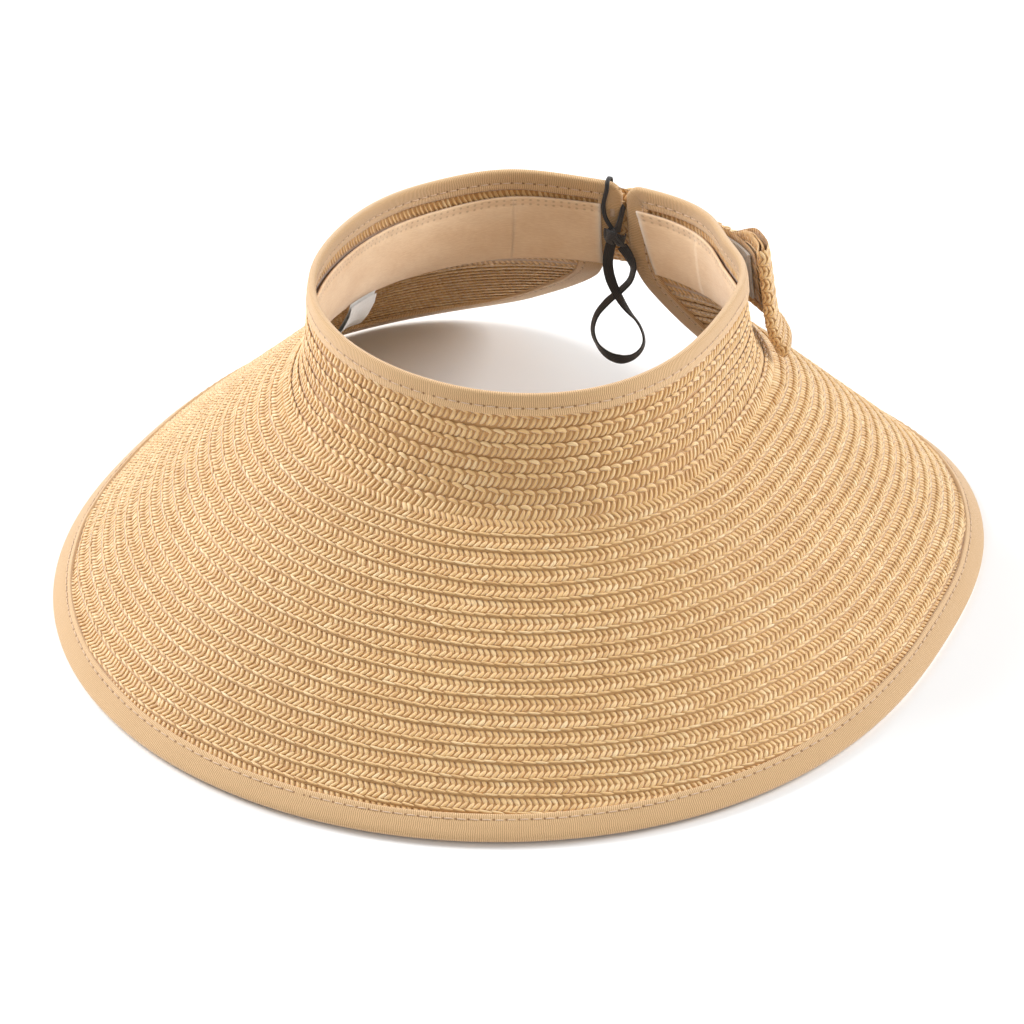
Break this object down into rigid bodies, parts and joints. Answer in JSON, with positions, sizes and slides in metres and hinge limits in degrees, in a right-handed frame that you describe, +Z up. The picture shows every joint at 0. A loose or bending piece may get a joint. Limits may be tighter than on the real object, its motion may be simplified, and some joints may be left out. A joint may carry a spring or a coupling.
{
  "type": "sun visor hat",
  "caption": "Roll-up sun visor sewn from straw braid, with a wide brim, a ribbon-bound open crown, an open back, a hook-and-loop strap under a bow, and an elastic loop.",
  "frame": {"origin": "middle of the bounding box, on the floor that the brim stands on", "axes": "+Z up, -Y towards the front of the brim, +X towards the side on the right as seen from the front"},
  "size_m": [0.3522, 0.362, 0.1243],
  "materials": {
    "straw": "matt straw braid with a slight sheen",
    "binding": "ribbed ribbon",
    "sweatband": "plain woven cotton",
    "label": "satin",
    "tape": "matt hook and loop pile",
    "thread": "matt",
    "elastic": "matt woven elastic"
  },
  "bodies": {
    "front": {"crown_row_01": "straw", "crown_row_02": "straw", "crown_row_03": "straw", "crown_row_04": "straw", "crown_row_05": "straw", "crown_row_06": "straw", "crown_row_07": "straw", "crown_row_08": "straw", "brim_row_01": "straw", "brim_row_02": "straw", "brim_row_03": "straw", "brim_row_04": "straw", "brim_row_05": "straw", "brim_row_06": "straw", "brim_row_07": "straw", "brim_row_08": "straw", "brim_row_09": "straw", "brim_row_10": "straw", "brim_row_11": "straw", "brim_row_12": "straw", "brim_row_13": "straw", "brim_row_14": "straw", "brim_row_15": "straw", "brim_row_16": "straw", "brim_row_17": "straw", "brim_row_18": "straw", "brim_row_19": "straw", "brim_row_20": "straw", "front_crown_binding": "binding", "front_brim_binding": "binding", "sweatband_front": "sweatband"},
    "left_arm": {"left_arm_crown_rows": "straw", "left_arm_brim_rows": "straw", "left_arm_crown_binding": "binding", "left_arm_brim_binding": "binding", "sweatband_left": "sweatband", "sweatband_left_end": "sweatband", "care_label": "label", "strap_anchor": "straw", "end_bar_tack": "thread", "elastic_hitch": "elastic", "elastic_strand_over": "elastic", "elastic_strand_gap": "elastic"},
    "right_arm": {"right_arm_crown_rows": "straw", "right_arm_brim_rows": "straw", "right_arm_crown_binding": "binding", "right_arm_brim_binding": "binding", "sweatband_right": "sweatband", "sweatband_right_end": "sweatband", "loop_tape": "tape"},
    "closure": {"closure_strap": "straw", "hook_tape": "tape", "bow_left_loop": "straw", "bow_right_loop": "straw", "bow_knot": "straw"},
    "elastic": {"elastic_loop": "elastic"}
  },
  "joints": [
    {"name": "closure_peel", "type": "hinge", "parent": "left_arm", "child": "closure", "pos_m": [-0.01967, 0.12956, 0.08889], "axis": [0.0013, -0.0757, 0.9971], "range_deg": [0, 110]},
    {"name": "left_arm_spread", "type": "hinge", "parent": "front", "child": "left_arm", "pos_m": [-0.0847, 0.0322, 0.12461], "axis": [0.5932, 0.0591, 0.8029], "range_deg": [0, 16.5]},
    {"name": "right_arm_spread", "type": "hinge", "parent": "front", "child": "right_arm", "pos_m": [0.07863, 0.03232, 0.12202], "axis": [0.6263, -0.0293, -0.779], "range_deg": [0, 16.5]},
    {"name": "elastic_swing", "type": "hinge", "parent": "left_arm", "child": "elastic", "pos_m": [-0.0054, 0.1229, 0.0831], "axis": [1, 0, 0], "range_deg": [-60, 6]}
  ],
  "couplings": [
    {"joint": "left_arm_spread", "follows": "closure_peel", "ratio": 0.15},
    {"joint": "right_arm_spread", "follows": "closure_peel", "ratio": 0.15}
  ]
}
